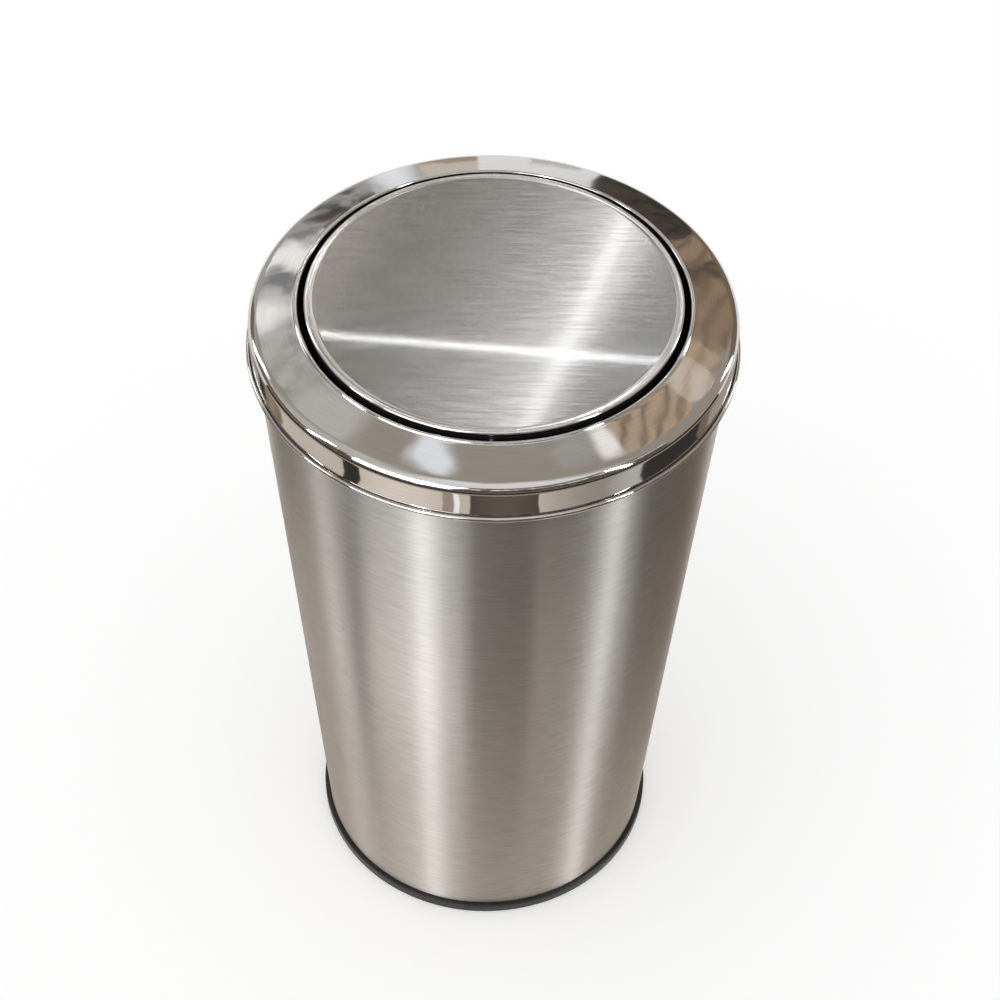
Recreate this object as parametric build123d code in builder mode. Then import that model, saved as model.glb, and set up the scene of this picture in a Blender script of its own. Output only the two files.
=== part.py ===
from build123d import *
from math import atan, cos, degrees, radians, sin, sqrt, tan
import os

# Swing-lid waste can: a tapered steel body on a moulded base ring, a lift-off lid made of a
# pressed ring over a moulded collar, and a round flap that turns on an axle across the throat.
#
# Millimetres, +Z up. The origin is the centre of the footprint, on the floor. The front faces
# -Y and the axle runs front to back, so the flap tips to the left or to the right.
# Profiles are drawn as (radius, height) and turned round the Z axis. Sheet parts are drawn as
# the middle line of the sheet and traced at its thickness.

# ---- Can body ----------------------------------------------------------------------------
body_height = 392.0  # floor to the top of the rolled rim
mouth_radius = 121.3  # outside of the wall, at the rim
foot_radius = 96.3  # outside of the wall, at its bottom edge
wall_sheet = 0.6
wall_foot_z = 3.0  # bottom edge of the wall, down in the base ring's groove
rim_roll_radius = 1.6  # outside radius of the roll that hems the mouth inwards
rim_roll_turn = 270.0
seam_width = 8.0  # lap of the sheet, inside the wall at the back
seam_foot_z = 16.0

pan_sheet = 0.6
pan_floor_z = 11.0  # middle of the sheet
pan_dish_depth = 2.0
pan_dish_inset = 28.0  # foot of the wall to the edge of the dish
pan_corner_radius = 3.0
pan_bend_radius = 1.5
pan_clearance = 0.1  # pan flange to wall

# ---- Base ring and feet ------------------------------------------------------------------
base_ledge = 3.2  # how far the ring stands out past the wall
base_ledge_z = 6.2
base_edge_radius = 0.8
base_bottom_radius = 0.5
base_width = 16.5
base_groove_clearance = 0.15
base_upstand_wall = 2.0
base_gusset_count = 24
base_gusset_thickness = 1.6

pad_count = 4
pad_radius = 5.0
pad_inset = 9.0  # outside of the ring to the centre of a pad
pad_first_angle = 45.0
pad_proud = 0.5  # how far the pads hold the ring off the floor
pad_pocket_depth = 1.2
pad_clearance = 0.1
pad_chamfer = 0.3

# ---- Lid ring ----------------------------------------------------------------------------
lid_sheet = 0.6
skirt_clearance = 1.1  # wall to skirt
lid_face_width = 25.1  # outside of the skirt to the edge of the opening
lid_rise = 15.1  # rolled rim to the top of the inner bead
lid_face_slope = 17.3
lid_inner_bead_radius = 1.0
lid_inner_groove_radius = 1.5
lid_inner_groove_turn = 40.0
lid_lip_length = 0.5
lid_shoulder_radius = 5.0
skirt_drop = 12.0  # rolled rim down to the centre of the skirt's bead
skirt_bead_radius = 1.3
skirt_bead_turn = 270.0

# ---- Lid collar --------------------------------------------------------------------------
collar_wall = 2.0
collar_gap = 0.1  # collar to the underside of the ring
collar_throat_setback = 0.8  # opening's edge to the throat wall
collar_flange_thickness = 2.0
lid_seat_gap = 0.3  # collar flange to the rolled rim
spigot_clearance = 0.7  # spigot to the inside of the roll
spigot_depth = 20.0
spigot_draft = 0.4
throat_depth = 18.0
throat_foot_radius = 0.8
collar_rib_count = 20
collar_rib_thickness = 1.5
collar_rib_foot = 14.0  # rib ends below the rolled rim
guide_count = 12
guide_height = 0.35  # guide ribs on the spigot, which centre the lid in the mouth
guide_width = 2.0
guide_lead = 3.0

# ---- Flap --------------------------------------------------------------------------------
flap_sheet = 0.6
flap_gap = 3.1  # opening's edge to the flap's edge
flap_proud = 1.5  # top of the lid ring's inner bead to the top of the flap's bead
flap_bead_radius = 1.2
flap_bead_wall = 0.3  # straight part under the bead
flap_bead_turn = 125.0
flap_hem_radius = 0.75
flap_hem_length = 0.9
flap_groove_radius = 0.9
flap_groove_flat = 0.9
flap_crease_turn = 24.0
flap_crease_radius = 0.9
flap_crown_radius = 500.0
flap_crown_turn = 1.2

tray_gap = 0.12
tray_plate = 1.8
tray_wall = 1.8
tray_depth = 8.6  # hem to the bottom edge of the tray's wall
tray_draft = 0.3
tray_rib = 1.4
tray_rib_depth = 5.0
tray_ring_rib_radius = 54.0
tray_rib_angles = (0.0, 28.0, -28.0, 56.0, -56.0)

# ---- Axle --------------------------------------------------------------------------------
axle_radius = 1.3
axle_lip_gap = 1.3  # axle to the ring's lip above it
axle_running_clearance = 0.05
axle_seat = 1.9  # how far the axle's end runs into the throat wall
axle_end_gap = 0.4
axle_chamfer = 0.4
axle_tray_clearance = 0.02
axle_beam_offset = 7.0
axle_beam_depth = 7.4
axle_web_count = 7
axle_web_inset = 7.4  # inside of the tray's wall to the end web
axle_web_thickness = 2.4
saddle_reach = 2.0  # how far the half-saddle stands into the throat
saddle_radius = 3.6
saddle_back = 2.6

clip_groove_depth = 0.3
clip_thickness = 0.6
clip_radius = 2.6
clip_gap = 0.2  # clip to the end web that it bears on

# ---- Counterweights ----------------------------------------------------------------------
weight_length = 128.0
weight_width = 15.0
weight_thickness = 7.0
weight_offset = 20.0
weight_drop = 0.2  # feet of the axle beams down to the top face of the bars
weight_end_radius = 3.0
weight_edge_chamfer = 0.6
weight_gap = 0.1
boss_radius = 4.5
screw_spacing = 88.0
screw_radius = 1.7
screw_hole_clearance = 0.3
screw_pilot_clearance = 0.02
screw_head_radius = 3.4
screw_head_height = 2.2
screw_bite = 6.0
screw_cross_width = 0.9
screw_cross_depth = 1.0

# ---- Places worked out from the sizes above ----------------------------------------------
wall_lean = atan((mouth_radius - foot_radius) / (body_height - rim_roll_radius - wall_foot_z))


def wall_outside(height):
    """Radius of the wall's outer face at a height."""
    return foot_radius + tan(wall_lean) * (height - wall_foot_z)


def wall_inside(height):
    """Radius of the wall's inner face at a height."""
    return wall_outside(height) - wall_sheet / cos(wall_lean)


def half_chord(radius, offset):
    """Half the length of a circle's chord at an offset from its centre."""
    return sqrt(radius**2 - offset**2)


skirt_radius = mouth_radius + skirt_clearance + lid_sheet
opening_radius = skirt_radius - lid_face_width
lid_top_z = body_height + lid_rise
throat_radius = opening_radius + collar_throat_setback
spigot_radius = mouth_radius - 2 * rim_roll_radius - spigot_clearance
flap_radius = opening_radius - flap_gap
flap_top_z = lid_top_z + flap_proud
lip_top_z = lid_top_z - lid_inner_bead_radius
axle_z = lip_top_z - lid_lip_length - axle_lip_gap - axle_radius
axle_half_length = throat_radius + axle_seat
beam_foot_z = axle_z - axle_beam_depth
weight_top_z = beam_foot_z - weight_drop

parts = []

# ---- Can body ----------------------------------------------------------------------------
roll_middle = rim_roll_radius - wall_sheet / 2
roll_start_z = body_height - wall_sheet / 2 - roll_middle * (1 + sin(wall_lean))
wall_middle_inset = wall_sheet / 2 / cos(wall_lean)
seam_angle = degrees(seam_width / mouth_radius)

with BuildPart() as body_shell:
    with BuildSketch(Plane.XZ):
        with BuildLine():
            wall = Line(
                (wall_outside(wall_foot_z) - wall_middle_inset, wall_foot_z),
                (wall_outside(roll_start_z) - wall_middle_inset, roll_start_z),
            )
            JernArc(wall @ 1, wall % 1, radius=roll_middle, arc_size=rim_roll_turn)
        trace(line_width=wall_sheet)
    revolve(axis=Axis.Z)
    # The lap: a second thickness of sheet inside the wall, from the pan to the roll.
    with BuildSketch(Plane.XZ.rotated((0, 0, 90 - seam_angle / 2))):
        with BuildLine():
            Polyline(
                (wall_inside(seam_foot_z), seam_foot_z),
                (wall_inside(roll_start_z), roll_start_z),
                (wall_inside(roll_start_z) - wall_sheet, roll_start_z),
                (wall_inside(seam_foot_z) - wall_sheet, seam_foot_z),
                close=True,
            )
        make_face()
    revolve(axis=Axis.Z, revolution_arc=seam_angle)
body_shell.part.label = "body_shell"
parts.append(body_shell.part)


def pan_flange(height):
    """Radius of the middle of the pan's flange at a height."""
    return wall_inside(height) - pan_clearance - pan_sheet / 2


pan_corner_z = pan_floor_z - pan_corner_radius * (1 + sin(wall_lean))
pan_dish_radius = foot_radius - pan_dish_inset

with BuildPart() as base_pan:
    with BuildSketch(Plane.XZ):
        with BuildLine():
            flange = Line(
                (pan_flange(wall_foot_z), wall_foot_z),
                (pan_flange(pan_corner_z), pan_corner_z),
            )
            corner = JernArc(
                flange @ 1,
                flange % 1,
                radius=pan_corner_radius,
                arc_size=90 + degrees(wall_lean),
            )
            FilletPolyline(
                corner @ 1,
                (pan_dish_radius + pan_dish_depth, pan_floor_z),
                (pan_dish_radius, pan_floor_z - pan_dish_depth),
                (0, pan_floor_z - pan_dish_depth),
                radius=pan_bend_radius,
            )
        trace(line_width=pan_sheet)
    revolve(axis=Axis.Z)
base_pan.part.label = "base_pan"
parts.append(base_pan.part)

# ---- Base ring and feet ------------------------------------------------------------------
base_radius = foot_radius + base_ledge
base_inner_radius = base_radius - base_width
pad_circle_radius = base_radius - pad_inset
groove_outer = wall_outside(base_ledge_z) + base_groove_clearance
groove_inner = pan_flange(wall_foot_z) - pan_sheet / 2 - base_groove_clearance
groove_z = wall_foot_z - base_groove_clearance
upstand_inner = groove_inner - base_upstand_wall
upstand_z = pan_corner_z - base_groove_clearance

with BuildPart() as base_ring:
    with BuildSketch(Plane.XZ) as ring_section:
        with BuildLine():
            Polyline(
                (base_inner_radius, pad_proud),
                (base_radius, pad_proud),
                (base_radius, base_ledge_z),
                (groove_outer, base_ledge_z),
                (groove_outer, groove_z),
                (groove_inner, groove_z),
                (groove_inner, upstand_z),
                (upstand_inner, upstand_z),
                (upstand_inner, groove_z),
                (base_inner_radius, groove_z),
                close=True,
            )
        make_face()
        fillet(ring_section.vertices().sort_by(Axis.X)[-2:].sort_by(Axis.Y)[1], base_edge_radius)
        fillet(ring_section.vertices().sort_by(Axis.Y)[:2].sort_by(Axis.X)[1], base_bottom_radius)
    revolve(axis=Axis.Z)
    # Gussets brace the upstand from inside.
    with BuildSketch(Plane.XZ) as gusset_section:
        with BuildLine():
            Polyline(
                (base_inner_radius + pad_proud, groove_z),
                (upstand_inner + pad_proud, groove_z),
                (upstand_inner + pad_proud, upstand_z - pad_proud),
                close=True,
            )
        make_face()
    gusset = extrude(
        gusset_section.sketch, amount=base_gusset_thickness / 2, both=True, mode=Mode.PRIVATE
    )
    with PolarLocations(0, base_gusset_count):
        add(gusset)
    with BuildSketch(Plane.XY.offset(pad_proud)):
        with PolarLocations(pad_circle_radius, pad_count, start_angle=pad_first_angle):
            Circle(pad_radius + pad_clearance)
    extrude(amount=pad_pocket_depth, mode=Mode.SUBTRACT)
base_ring.part.label = "base_ring"
parts.append(base_ring.part)

for number in range(pad_count):
    pad_angle = pad_first_angle + number * 360 / pad_count
    with BuildPart() as foot_pad:
        with BuildSketch():
            with PolarLocations(pad_circle_radius, 1, start_angle=pad_angle):
                Circle(pad_radius)
        extrude(amount=pad_proud + pad_pocket_depth)
        chamfer(foot_pad.edges().group_by(Axis.Z)[0], pad_chamfer)
    foot_pad.part.label = f"foot_pad_{number + 1}"
    parts.append(foot_pad.part)

# ---- Lid ring ----------------------------------------------------------------------------
half_lid_sheet = lid_sheet / 2
bead_middle = lid_inner_bead_radius - half_lid_sheet
shoulder_middle = lid_shoulder_radius - half_lid_sheet
skirt_bead_middle = skirt_bead_radius - half_lid_sheet
skirt_middle = skirt_radius - half_lid_sheet
skirt_bead_z = body_height - skirt_drop
# A turn that ends upright takes up this share of its radius across the face.
shoulder_reach = shoulder_middle * (1 - sin(radians(lid_face_slope)))

with BuildPart() as lid_ring:
    with BuildSketch(Plane.XZ):
        with BuildLine():
            lip = Line(
                (opening_radius + half_lid_sheet, lip_top_z - lid_lip_length),
                (opening_radius + half_lid_sheet, lip_top_z),
            )
            inner_bead = JernArc(
                lip @ 1,
                lip % 1,
                radius=bead_middle,
                arc_size=-(90 + lid_face_slope + lid_inner_groove_turn),
            )
            inner_groove = JernArc(
                inner_bead @ 1,
                inner_bead % 1,
                radius=lid_inner_groove_radius,
                arc_size=lid_inner_groove_turn,
            )
            face = PolarLine(
                inner_groove @ 1,
                (skirt_middle - shoulder_reach - (inner_groove @ 1).X)
                / cos(radians(lid_face_slope)),
                -lid_face_slope,
            )
            shoulder = JernArc(
                face @ 1, face % 1, radius=shoulder_middle, arc_size=lid_face_slope - 90
            )
            skirt = Line(shoulder @ 1, (skirt_middle, skirt_bead_z))
            JernArc(skirt @ 1, skirt % 1, radius=skirt_bead_middle, arc_size=skirt_bead_turn)
        trace(line_width=lid_sheet)
    revolve(axis=Axis.Z)
lid_ring.part.label = "lid_ring"
parts.append(lid_ring.part)

# ---- Lid collar --------------------------------------------------------------------------
face_start = face @ 0


def face_underside(radius):
    """Height of the collar's top, just under the sloping face of the ring, at a radius."""
    middle = face_start.Y - (radius - face_start.X) * tan(radians(lid_face_slope))
    return middle - (half_lid_sheet + collar_gap) / cos(radians(lid_face_slope))


collar_top_drop = collar_wall / cos(radians(lid_face_slope))
flange_z = body_height + lid_seat_gap
flange_radius = skirt_radius - lid_sheet - collar_gap
spigot_foot_z = body_height - spigot_depth
throat_foot_z = body_height - throat_depth
throat_back = throat_radius + collar_wall
spigot_inside = spigot_radius - collar_wall

with BuildPart() as lid_collar:
    with BuildSketch(Plane.XZ) as collar_section:
        with BuildLine():
            Polyline(
                (throat_radius, throat_foot_z),
                (throat_radius, face_underside(throat_radius)),
                (spigot_radius, face_underside(spigot_radius)),
                (spigot_radius, flange_z + collar_flange_thickness),
                (flange_radius, flange_z + collar_flange_thickness),
                (flange_radius, flange_z),
                (spigot_radius, flange_z),
                (spigot_radius - spigot_draft, spigot_foot_z),
                (spigot_inside - spigot_draft, spigot_foot_z),
                (spigot_inside, face_underside(spigot_inside) - collar_top_drop),
                (throat_back, face_underside(throat_back) - collar_top_drop),
                (throat_back, throat_foot_z),
                close=True,
            )
        make_face()
        throat_foot = collar_section.vertices().group_by(Axis.X)[0].sort_by(Axis.Y)[0]
        fillet(throat_foot, radius=throat_foot_radius)
    revolve(axis=Axis.Z)
    # Ribs tie the throat wall to the spigot.
    with BuildSketch(Plane.XZ) as collar_rib_section:
        with BuildLine():
            Polyline(
                (throat_back - collar_gap, body_height - collar_rib_foot),
                (throat_back - collar_gap, face_underside(throat_back) - collar_wall),
                (spigot_inside, face_underside(spigot_inside) - collar_wall),
                (spigot_inside, body_height - collar_rib_foot),
                close=True,
            )
        make_face()
    collar_rib = extrude(
        collar_rib_section.sketch, amount=collar_rib_thickness / 2, both=True, mode=Mode.PRIVATE
    )
    with PolarLocations(0, collar_rib_count, start_angle=180 / collar_rib_count):
        add(collar_rib)
    # Guide ribs on the outside of the spigot, tapered at the foot to lead the lid in.
    with BuildSketch(Plane.XZ) as guide_section:
        with BuildLine():
            Polyline(
                (spigot_inside + collar_wall / 2, flange_z + collar_gap),
                (spigot_radius + guide_height, flange_z + collar_gap),
                (spigot_radius - spigot_draft + guide_height, spigot_foot_z + guide_lead),
                (spigot_radius - spigot_draft - collar_gap, spigot_foot_z),
                (spigot_inside + collar_wall / 2, spigot_foot_z),
                close=True,
            )
        make_face()
    guide = extrude(guide_section.sketch, amount=guide_width / 2, both=True, mode=Mode.PRIVATE)
    with PolarLocations(0, guide_count):
        add(guide)
    # Axle saddles: half-round blocks under the axle's ends, front and rear.
    with BuildSketch(Plane.XZ) as saddle_section:
        with Locations((0, axle_z)):
            Circle(saddle_radius)
            Rectangle(
                2 * saddle_radius, saddle_radius, align=(Align.CENTER, Align.MIN), mode=Mode.SUBTRACT
            )
    saddle_start = throat_radius - saddle_reach
    saddle = extrude(
        saddle_section.sketch,
        amount=axle_half_length + axle_end_gap + saddle_back - saddle_start,
        mode=Mode.PRIVATE,
    )
    with PolarLocations(saddle_start, 2, start_angle=-90):
        add(Rot(0, 0, 90) * saddle)
    # Slots open at the top let the axle drop in before the ring closes them.
    slot_radius = axle_radius + axle_running_clearance
    with BuildSketch(Plane.XZ) as slot_section:
        with Locations((0, axle_z)):
            Circle(slot_radius)
            Rectangle(2 * slot_radius, saddle_radius, align=(Align.CENTER, Align.MIN))
    extrude(
        slot_section.sketch,
        amount=axle_half_length + axle_end_gap,
        both=True,
        mode=Mode.SUBTRACT,
    )
lid_collar.part.label = "lid_collar"
parts.append(lid_collar.part)

# ---- Flap skin ---------------------------------------------------------------------------
half_flap_sheet = flap_sheet / 2
flap_bead_middle = flap_bead_radius - half_flap_sheet
flap_middle = flap_radius - half_flap_sheet
flap_bead_z = flap_top_z - flap_bead_radius
hem_middle = flap_hem_radius - half_flap_sheet
groove_exit_turn = flap_bead_turn - 90

with BuildPart() as flap_skin:
    with BuildSketch(Plane.XZ):
        with BuildLine():
            hem = Line(
                (
                    flap_middle - hem_middle - flap_hem_length,
                    flap_bead_z - flap_bead_wall - hem_middle,
                ),
                (flap_middle - hem_middle, flap_bead_z - flap_bead_wall - hem_middle),
            )
            hem_corner = JernArc(hem @ 1, hem % 1, radius=hem_middle, arc_size=90)
            bead_wall = Line(hem_corner @ 1, (flap_middle, flap_bead_z))
            flap_bead = JernArc(
                bead_wall @ 1, bead_wall % 1, radius=flap_bead_middle, arc_size=flap_bead_turn
            )
            groove_entry = JernArc(
                flap_bead @ 1,
                flap_bead % 1,
                radius=flap_groove_radius,
                arc_size=-groove_exit_turn,
            )
            groove_floor = Line(
                groove_entry @ 1, groove_entry @ 1 - Vector(flap_groove_flat, 0)
            )
            groove_exit = JernArc(
                groove_floor @ 1,
                groove_floor % 1,
                radius=flap_groove_radius,
                arc_size=-flap_crease_turn,
            )
            crease = JernArc(
                groove_exit @ 1,
                groove_exit % 1,
                radius=flap_crease_radius,
                arc_size=flap_crease_turn - flap_crown_turn,
            )
            crown = JernArc(
                crease @ 1, crease % 1, radius=flap_crown_radius, arc_size=flap_crown_turn
            )
            Line(crown @ 1, (0, (crown @ 1).Y))
        trace(line_width=flap_sheet)
    revolve(axis=Axis.Z)
flap_skin.part.label = "flap_skin"
parts.append(flap_skin.part)

# ---- Flap tray ---------------------------------------------------------------------------
under_skin = half_flap_sheet + tray_gap
tray_top_z = (crown @ 1).Y - under_skin
tray_rim_z = (hem @ 0).Y - under_skin
tray_foot_z = tray_rim_z - tray_depth
tray_wall_radius = flap_radius - tray_gap
tray_nest_radius = (hem @ 0).X - tray_gap
tray_wall_inside = tray_wall_radius - tray_wall
plate_underside_z = tray_top_z - tray_plate
web_reach = tray_wall_inside - axle_web_inset
axle_hole_radius = axle_radius + axle_tray_clearance
boss_foot_z = weight_top_z + weight_gap

with BuildPart() as flap_tray:
    with BuildSketch(Plane.XZ):
        with BuildLine():
            Polyline(
                (0, tray_top_z),
                ((crown @ 1).X, tray_top_z),
                ((crown @ 0).X, (crown @ 0).Y - under_skin - tray_gap),
                ((groove_floor @ 1).X, (groove_floor @ 1).Y - under_skin),
                (tray_nest_radius, (groove_floor @ 1).Y - under_skin),
                (tray_nest_radius, tray_rim_z),
                (tray_wall_radius, tray_rim_z),
                (tray_wall_radius - tray_draft, tray_foot_z),
                (tray_wall_inside - tray_draft, tray_foot_z),
                (tray_wall_inside, plate_underside_z - tray_plate),
                (tray_wall_inside - tray_plate, plate_underside_z),
                (0, plate_underside_z),
                close=True,
            )
        make_face()
    revolve(axis=Axis.Z)
    # Ring rib and radial ribs stiffen the plate.
    with BuildSketch(Plane.XY.offset(plate_underside_z)):
        Circle(tray_ring_rib_radius + tray_rib / 2)
        Circle(tray_ring_rib_radius - tray_rib / 2, mode=Mode.SUBTRACT)
        for rib_angle in tray_rib_angles:
            Rectangle(2 * tray_wall_inside, tray_rib, rotation=rib_angle)
    extrude(amount=-tray_rib_depth)
    # Two beams along the axle, and the webs between them that it passes through.
    with BuildSketch(Plane.XY.offset(plate_underside_z)):
        with Locations((axle_beam_offset, 0), (-axle_beam_offset, 0)):
            Rectangle(tray_rib, 2 * half_chord(tray_wall_inside, axle_beam_offset))
        with GridLocations(0, 2 * web_reach / (axle_web_count - 1), 1, axle_web_count):
            Rectangle(2 * axle_beam_offset, axle_web_thickness)
    extrude(amount=-(plate_underside_z - beam_foot_z))
    # Bosses that the counterweights are screwed to.
    with BuildSketch(Plane.XY.offset(plate_underside_z)):
        with GridLocations(2 * weight_offset, screw_spacing, 2, 2):
            Circle(boss_radius)
    extrude(amount=-(plate_underside_z - boss_foot_z))
    with BuildSketch(Plane.XY.offset(boss_foot_z)):
        with GridLocations(2 * weight_offset, screw_spacing, 2, 2):
            Circle(screw_radius + screw_pilot_clearance)
    extrude(amount=screw_bite + screw_head_height, mode=Mode.SUBTRACT)
    # The bore for the axle, through the webs and both sides of the wall.
    with BuildSketch(Plane.XZ):
        with Locations((0, axle_z)):
            Circle(axle_hole_radius)
    extrude(amount=flap_radius, both=True, mode=Mode.SUBTRACT)
flap_tray.part.label = "flap_tray"
parts.append(flap_tray.part)

# ---- Axle and its clips ------------------------------------------------------------------
clip_spot = web_reach - axle_web_thickness / 2 - clip_gap - clip_thickness / 2

with BuildPart() as axle_rod:
    with BuildSketch(Plane.XZ):
        with Locations((0, axle_z)):
            Circle(axle_radius)
    extrude(amount=axle_half_length, both=True)
    chamfer(axle_rod.faces().filter_by(Axis.Y).edges(), axle_chamfer)
    for side in (1, -1):
        with BuildSketch(Plane.XZ.offset(side * clip_spot)):
            with Locations((0, axle_z)):
                Circle(axle_radius)
                Circle(axle_radius - clip_groove_depth, mode=Mode.SUBTRACT)
        extrude(amount=clip_thickness / 2 + axle_running_clearance, both=True, mode=Mode.SUBTRACT)
axle_rod.part.label = "axle_rod"
parts.append(axle_rod.part)

clip_bore = axle_radius - clip_groove_depth + axle_running_clearance
for name, side in (("front_axle_clip", 1), ("rear_axle_clip", -1)):
    with BuildPart() as axle_clip:
        with BuildSketch(Plane.XZ.offset(side * clip_spot)):
            with Locations((0, axle_z)):
                Circle(clip_radius)
                Circle(clip_bore, mode=Mode.SUBTRACT)
                Rectangle(
                    2 * clip_bore - axle_running_clearance,
                    clip_radius,
                    align=(Align.CENTER, Align.MAX),
                    mode=Mode.SUBTRACT,
                )
        extrude(amount=clip_thickness / 2, both=True)
    axle_clip.part.label = name
    parts.append(axle_clip.part)

# ---- Counterweights ----------------------------------------------------------------------
for name, side in (("left_counterweight", -1), ("right_counterweight", 1)):
    with BuildPart() as counterweight:
        with BuildSketch(Plane.XY.offset(weight_top_z)):
            with Locations((side * weight_offset, 0)):
                RectangleRounded(weight_width, weight_length, weight_end_radius)
                with GridLocations(0, screw_spacing, 1, 2):
                    Circle(screw_radius + screw_hole_clearance, mode=Mode.SUBTRACT)
        extrude(amount=-weight_thickness)
        chamfer(counterweight.faces().sort_by(Axis.Z)[0].outer_wire().edges(), weight_edge_chamfer)
    counterweight.part.label = name
    parts.append(counterweight.part)

with BuildPart() as screws:
    head_top_z = weight_top_z - weight_thickness - weight_gap
    with BuildSketch(Plane.XY.offset(head_top_z)):
        with GridLocations(2 * weight_offset, screw_spacing, 2, 2):
            Circle(screw_head_radius)
    extrude(amount=-screw_head_height)
    fillet(screws.edges().group_by(Axis.Z)[0], radius=screw_head_height / 3)
    with BuildSketch(Plane.XY.offset(head_top_z)):
        with GridLocations(2 * weight_offset, screw_spacing, 2, 2):
            Circle(screw_radius)
    extrude(amount=weight_thickness + 2 * weight_gap + screw_bite)
    with BuildSketch(Plane.XY.offset(head_top_z - screw_head_height)):
        with GridLocations(2 * weight_offset, screw_spacing, 2, 2):
            Rectangle(2 * screw_radius + screw_cross_width, screw_cross_width)
            Rectangle(screw_cross_width, 2 * screw_radius + screw_cross_width)
    extrude(amount=screw_cross_depth, mode=Mode.SUBTRACT)
screws.part.label = "counterweight_screws"
parts.append(screws.part)

os.makedirs("parts", exist_ok=True)
for part in parts:
    export_step(part, f"parts/{part.label}.step")
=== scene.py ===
"""Looks of a round swing-lid waste can: its finishes, its pressed flap, the studio and the camera.

Metres, +Z up, the front towards -Y. Lengths inside the sub-assemblies are written in millimetres.
"""

import logging
import math
from dataclasses import dataclass, field
from enum import Enum
from typing import Any, Iterable, Mapping, Optional, Sequence, Union

import bmesh
import bpy
from mathutils import Matrix, Vector


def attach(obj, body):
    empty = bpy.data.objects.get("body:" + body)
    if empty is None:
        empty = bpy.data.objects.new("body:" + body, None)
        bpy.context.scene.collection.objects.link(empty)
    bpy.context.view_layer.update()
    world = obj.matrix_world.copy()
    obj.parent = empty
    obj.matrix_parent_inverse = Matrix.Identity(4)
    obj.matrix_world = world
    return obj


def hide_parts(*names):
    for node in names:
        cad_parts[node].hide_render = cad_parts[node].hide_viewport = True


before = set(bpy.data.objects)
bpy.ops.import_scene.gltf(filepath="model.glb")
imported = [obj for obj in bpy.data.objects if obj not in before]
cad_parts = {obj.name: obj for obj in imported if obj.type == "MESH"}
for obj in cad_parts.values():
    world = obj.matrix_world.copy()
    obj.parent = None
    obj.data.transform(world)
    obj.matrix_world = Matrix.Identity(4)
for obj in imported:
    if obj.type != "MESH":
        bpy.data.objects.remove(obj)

LOG = logging.getLogger("waste_can")
MM = 0.001
Colour = tuple[float, float, float]
Term = Union["Signal", float, int]
Settings = Optional[Mapping[str, Any]]
Sockets = Optional[Mapping[Union[str, int], Any]]
Socket = bpy.types.NodeSocket
Material = bpy.types.Material


# ---- Shader building ----
class Signal:
    """A number on a shader socket. Arithmetic on it adds the Math nodes."""

    def __init__(self, shader: "Shader", socket: Socket) -> None:
        """Wraps an output socket.

        Args:
            shader: The shader that the socket belongs to.
            socket: The output socket.
        """
        self.shader = shader
        self.socket = socket

    def maths(self, operation: str, *terms: Term) -> "Signal":
        """Adds one Math node.

        Args:
            operation: The Math node's operation.
            terms: Its inputs in order.

        Returns:
            The node's result.
        """
        settings = {"operation": operation}
        return self.shader.signal("ShaderNodeMath", settings, dict(enumerate(terms)))

    def __add__(self, other: Term) -> "Signal":
        """Sum."""
        return self.maths("ADD", self, other)

    def __radd__(self, other: Term) -> "Signal":
        """Sum, number first."""
        return self.maths("ADD", other, self)

    def __sub__(self, other: Term) -> "Signal":
        """Difference."""
        return self.maths("SUBTRACT", self, other)

    def __rsub__(self, other: Term) -> "Signal":
        """Difference, number first."""
        return self.maths("SUBTRACT", other, self)

    def __mul__(self, other: Term) -> "Signal":
        """Product."""
        return self.maths("MULTIPLY", self, other)

    def __rmul__(self, other: Term) -> "Signal":
        """Product, number first."""
        return self.maths("MULTIPLY", other, self)

    def __truediv__(self, other: Term) -> "Signal":
        """Quotient."""
        return self.maths("DIVIDE", self, other)

    def __pow__(self, other: Term) -> "Signal":
        """Power."""
        return self.maths("POWER", self, other)

    def step(self, low: float, high: float) -> "Signal":
        """A smooth step.

        Args:
            low: Where the result is 0.
            high: Where the result is 1.

        Returns:
            The eased mask, from 0 to 1.
        """
        settings = {"interpolation_type": "SMOOTHSTEP"}
        sockets = {"Value": self, "From Min": low, "From Max": high}
        return self.shader.signal("ShaderNodeMapRange", settings, sockets)


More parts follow.
